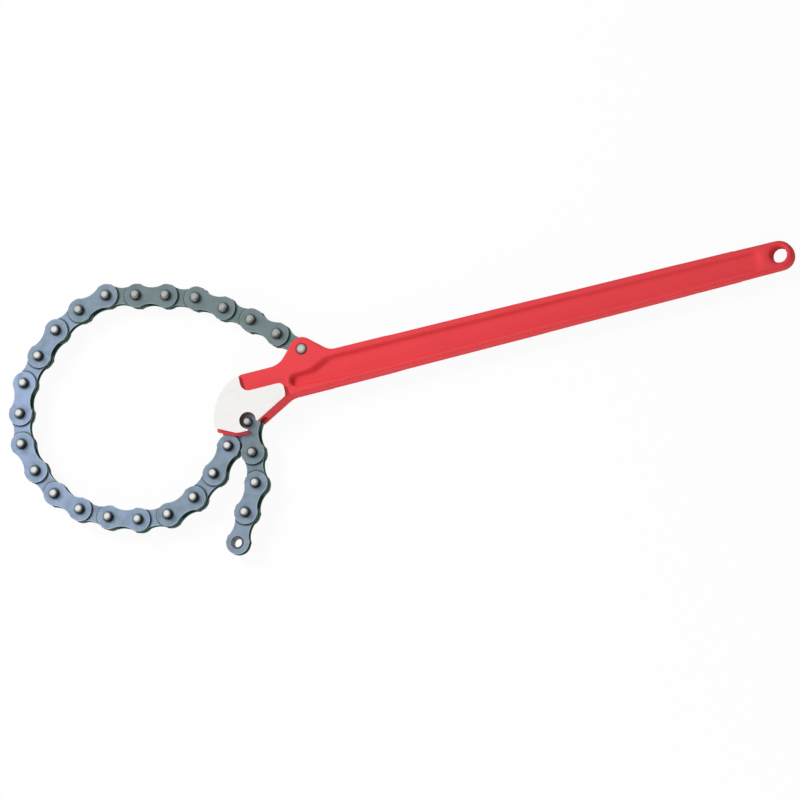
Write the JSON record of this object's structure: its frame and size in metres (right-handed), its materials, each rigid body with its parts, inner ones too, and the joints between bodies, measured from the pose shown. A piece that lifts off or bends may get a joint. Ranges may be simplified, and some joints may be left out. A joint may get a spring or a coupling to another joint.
{
  "type": "chain pipe wrench",
  "caption": "Hand wrench with a forked red I-beam handle, toothed jaw plates and a pin chain that loops round a pipe and hooks back on the head.",
  "frame": {"origin": "on the axis of the hanging hole at the end of the handle, at mid thickness", "axes": "+X along the handle away from the head, +Z along the hanging hole and every chain pivot; the wrench lies flat in the XY plane"},
  "size_m": [0.5017, 0.1847, 0.0222],
  "materials": {
    "red_enamel": "satin red enamel over forged steel",
    "jaw_steel": "ground bright steel",
    "rivet_steel": "set rivet head",
    "plate_steel": "blue-grey stamped and tumbled steel",
    "pin_steel": "ground bright pin",
    "bush_steel": "dark rolled bush"
  },
  "bodies": {
    "handle": {"handle": "red_enamel", "jaw_plate_front": "jaw_steel", "jaw_plate_rear": "jaw_steel", "jaw_rivets": "jaw_steel", "anchor_rivet": "rivet_steel"},
    "link_01": {"link_01_plates": "plate_steel", "link_01_bushes": "bush_steel"},
    "link_02": {"link_02_plates": "plate_steel", "link_02_pins": "pin_steel"},
    "link_03": {"link_03_plates": "plate_steel", "link_03_bushes": "bush_steel"},
    "link_04": {"link_04_plates": "plate_steel", "link_04_pins": "pin_steel"},
    "link_05": {"link_05_plates": "plate_steel", "link_05_bushes": "bush_steel"},
    "link_06": {"link_06_plates": "plate_steel", "link_06_pins": "pin_steel"},
    "link_07": {"link_07_plates": "plate_steel", "link_07_bushes": "bush_steel"},
    "link_08": {"link_08_plates": "plate_steel", "link_08_pins": "pin_steel"},
    "link_09": {"link_09_plates": "plate_steel", "link_09_bushes": "bush_steel"},
    "link_10": {"link_10_plates": "plate_steel", "link_10_pins": "pin_steel"},
    "link_11": {"link_11_plates": "plate_steel", "link_11_bushes": "bush_steel"},
    "link_12": {"link_12_plates": "plate_steel", "link_12_pins": "pin_steel"},
    "link_13": {"link_13_plates": "plate_steel", "link_13_bushes": "bush_steel"},
    "link_14": {"link_14_plates": "plate_steel", "link_14_pins": "pin_steel"},
    "link_15": {"link_15_plates": "plate_steel", "link_15_bushes": "bush_steel"},
    "link_16": {"link_16_plates": "plate_steel", "link_16_pins": "pin_steel"},
    "link_17": {"link_17_plates": "plate_steel", "link_17_bushes": "bush_steel"},
    "link_18": {"link_18_plates": "plate_steel", "link_18_pins": "pin_steel"},
    "link_19": {"link_19_plates": "plate_steel", "link_19_bushes": "bush_steel"},
    "link_20": {"link_20_plates": "plate_steel", "link_20_pins": "pin_steel"},
    "link_21": {"link_21_plates": "plate_steel", "link_21_bushes": "bush_steel"},
    "link_22": {"link_22_plates": "plate_steel", "link_22_pins": "pin_steel"},
    "link_23": {"link_23_plates": "plate_steel", "link_23_bushes": "bush_steel"},
    "link_24": {"link_24_plates": "plate_steel", "link_24_pins": "pin_steel"},
    "link_25": {"link_25_plates": "plate_steel", "link_25_bushes": "bush_steel"},
    "link_26": {"link_26_plates": "plate_steel", "link_26_pins": "pin_steel"},
    "link_27": {"link_27_plates": "plate_steel", "link_27_bushes": "bush_steel"}
  },
  "joints": [
    {"name": "anchor_pivot", "type": "hinge", "parent": "handle", "child": "link_01", "pos_m": [-0.301, 0.0152, 0], "axis": [0, 0, 1], "range_deg": [0, 40]},
    {"name": "chain_pivot_01", "type": "hinge", "parent": "link_01", "child": "link_02", "pos_m": [-0.31456, 0.02858, 0], "axis": [0, 0, -1], "range_deg": [-10, 0]},
    {"name": "chain_pivot_02", "type": "hinge", "parent": "link_02", "child": "link_03", "pos_m": [-0.3288, 0.04123, 0], "axis": [0, 0, -1], "range_deg": [-10, 0]},
    {"name": "chain_pivot_03", "type": "hinge", "parent": "link_03", "child": "link_04", "pos_m": [-0.34409, 0.0526, 0], "axis": [0, 0, -1], "range_deg": [-10, 0]},
    {"name": "chain_pivot_04", "type": "hinge", "parent": "link_04", "child": "link_05", "pos_m": [-0.35995, 0.06316, 0], "axis": [0, 0, -1], "range_deg": [-10, 0]},
    {"name": "chain_pivot_05", "type": "hinge", "parent": "link_05", "child": "link_06", "pos_m": [-0.37799, 0.06927, 0], "axis": [0, 0, -1], "range_deg": [-10, 0]},
    {"name": "chain_pivot_06", "type": "hinge", "parent": "link_06", "child": "link_07", "pos_m": [-0.39641, 0.07411, 0], "axis": [0, 0, -1], "range_deg": [-10, 0]},
    {"name": "chain_pivot_07", "type": "hinge", "parent": "link_07", "child": "link_08", "pos_m": [-0.41492, 0.07864, 0], "axis": [0, 0, -1], "range_deg": [-10, 0]},
    {"name": "chain_pivot_08", "type": "hinge", "parent": "link_08", "child": "link_09", "pos_m": [-0.43331, 0.07366, 0], "axis": [0, 0, -1], "range_deg": [-10, 0]},
    {"name": "chain_pivot_09", "type": "hinge", "parent": "link_09", "child": "link_10", "pos_m": [-0.45027, 0.06499, 0], "axis": [0, 0, -1], "range_deg": [-10, 0]},
    {"name": "chain_pivot_10", "type": "hinge", "parent": "link_10", "child": "link_11", "pos_m": [-0.4642, 0.05199, 0], "axis": [0, 0, -1], "range_deg": [0, 10]},
    {"name": "chain_pivot_11", "type": "hinge", "parent": "link_11", "child": "link_12", "pos_m": [-0.4767, 0.03762, 0], "axis": [0, 0, -1], "range_deg": [0, 10]},
    {"name": "chain_pivot_12", "type": "hinge", "parent": "link_12", "child": "link_13", "pos_m": [-0.48293, 0.01962, 0], "axis": [0, 0, -1], "range_deg": [0, 10]},
    {"name": "chain_pivot_13", "type": "hinge", "parent": "link_13", "child": "link_14", "pos_m": [-0.48563, 0.00076, 0], "axis": [0, 0, -1], "range_deg": [0, 10]},
    {"name": "chain_pivot_14", "type": "hinge", "parent": "link_14", "child": "link_15", "pos_m": [-0.48046, -0.01757, 0], "axis": [0, 0, -1], "range_deg": [0, 10]},
    {"name": "chain_pivot_15", "type": "hinge", "parent": "link_15", "child": "link_16", "pos_m": [-0.47161, -0.03444, 0], "axis": [0, 0, -1], "range_deg": [0, 10]},
    {"name": "chain_pivot_16", "type": "hinge", "parent": "link_16", "child": "link_17", "pos_m": [-0.458, -0.04777, 0], "axis": [0, 0, -1], "range_deg": [0, 10]},
    {"name": "chain_pivot_17", "type": "hinge", "parent": "link_17", "child": "link_18", "pos_m": [-0.44125, -0.05684, 0], "axis": [0, 0, -1], "range_deg": [0, 10]},
    {"name": "chain_pivot_18", "type": "hinge", "parent": "link_18", "child": "link_19", "pos_m": [-0.42318, -0.06289, 0], "axis": [0, 0, -1], "range_deg": [0, 10]},
    {"name": "chain_pivot_19", "type": "hinge", "parent": "link_19", "child": "link_20", "pos_m": [-0.40419, -0.0644, 0], "axis": [0, 0, -1], "range_deg": [0, 10]},
    {"name": "chain_pivot_20", "type": "hinge", "parent": "link_20", "child": "link_21", "pos_m": [-0.38622, -0.05809, 0], "axis": [0, 0, -1], "range_deg": [0, 10]},
    {"name": "chain_pivot_21", "type": "hinge", "parent": "link_21", "child": "link_22", "pos_m": [-0.37106, -0.04656, 0], "axis": [0, 0, -1], "range_deg": [0, 10]},
    {"name": "chain_pivot_22", "type": "hinge", "parent": "link_22", "child": "link_23", "pos_m": [-0.35861, -0.03213, 0], "axis": [0, 0, -1], "range_deg": [0, 10]},
    {"name": "chain_pivot_23", "type": "hinge", "parent": "link_23", "child": "link_24", "pos_m": [-0.34345, -0.0206, 0], "axis": [0, 0, -1], "range_deg": [-66, 1]},
    {"name": "chain_pivot_24", "type": "hinge", "parent": "link_24", "child": "link_25", "pos_m": [-0.34469, -0.03961, 0], "axis": [0, 0, 1], "range_deg": [-25, 100]},
    {"name": "chain_pivot_25", "type": "hinge", "parent": "link_25", "child": "link_26", "pos_m": [-0.3466, -0.05856, 0], "axis": [0, 0, -1], "range_deg": [-110, 35]},
    {"name": "chain_pivot_26", "type": "hinge", "parent": "link_26", "child": "link_27", "pos_m": [-0.35662, -0.07477, 0], "axis": [0, 0, 1], "range_deg": [-85, 110]}
  ],
  "couplings": [
    {"joint": "chain_pivot_02", "follows": "chain_pivot_01", "ratio": 1},
    {"joint": "chain_pivot_03", "follows": "chain_pivot_01", "ratio": 1},
    {"joint": "chain_pivot_04", "follows": "chain_pivot_01", "ratio": 1},
    {"joint": "chain_pivot_05", "follows": "chain_pivot_01", "ratio": 1},
    {"joint": "chain_pivot_06", "follows": "chain_pivot_01", "ratio": 1},
    {"joint": "chain_pivot_07", "follows": "chain_pivot_01", "ratio": 1},
    {"joint": "chain_pivot_08", "follows": "chain_pivot_01", "ratio": 1},
    {"joint": "chain_pivot_09", "follows": "chain_pivot_01", "ratio": 1},
    {"joint": "chain_pivot_10", "follows": "chain_pivot_01", "ratio": -1},
    {"joint": "chain_pivot_11", "follows": "chain_pivot_01", "ratio": -1},
    {"joint": "chain_pivot_12", "follows": "chain_pivot_01", "ratio": -1},
    {"joint": "chain_pivot_13", "follows": "chain_pivot_01", "ratio": -1},
    {"joint": "chain_pivot_14", "follows": "chain_pivot_01", "ratio": -1},
    {"joint": "chain_pivot_15", "follows": "chain_pivot_01", "ratio": -1},
    {"joint": "chain_pivot_16", "follows": "chain_pivot_01", "ratio": -1},
    {"joint": "chain_pivot_17", "follows": "chain_pivot_01", "ratio": -1},
    {"joint": "chain_pivot_18", "follows": "chain_pivot_01", "ratio": -1},
    {"joint": "chain_pivot_19", "follows": "chain_pivot_01", "ratio": -1},
    {"joint": "chain_pivot_20", "follows": "chain_pivot_01", "ratio": -1},
    {"joint": "chain_pivot_21", "follows": "chain_pivot_01", "ratio": -1},
    {"joint": "chain_pivot_22", "follows": "chain_pivot_01", "ratio": -1}
  ]
}
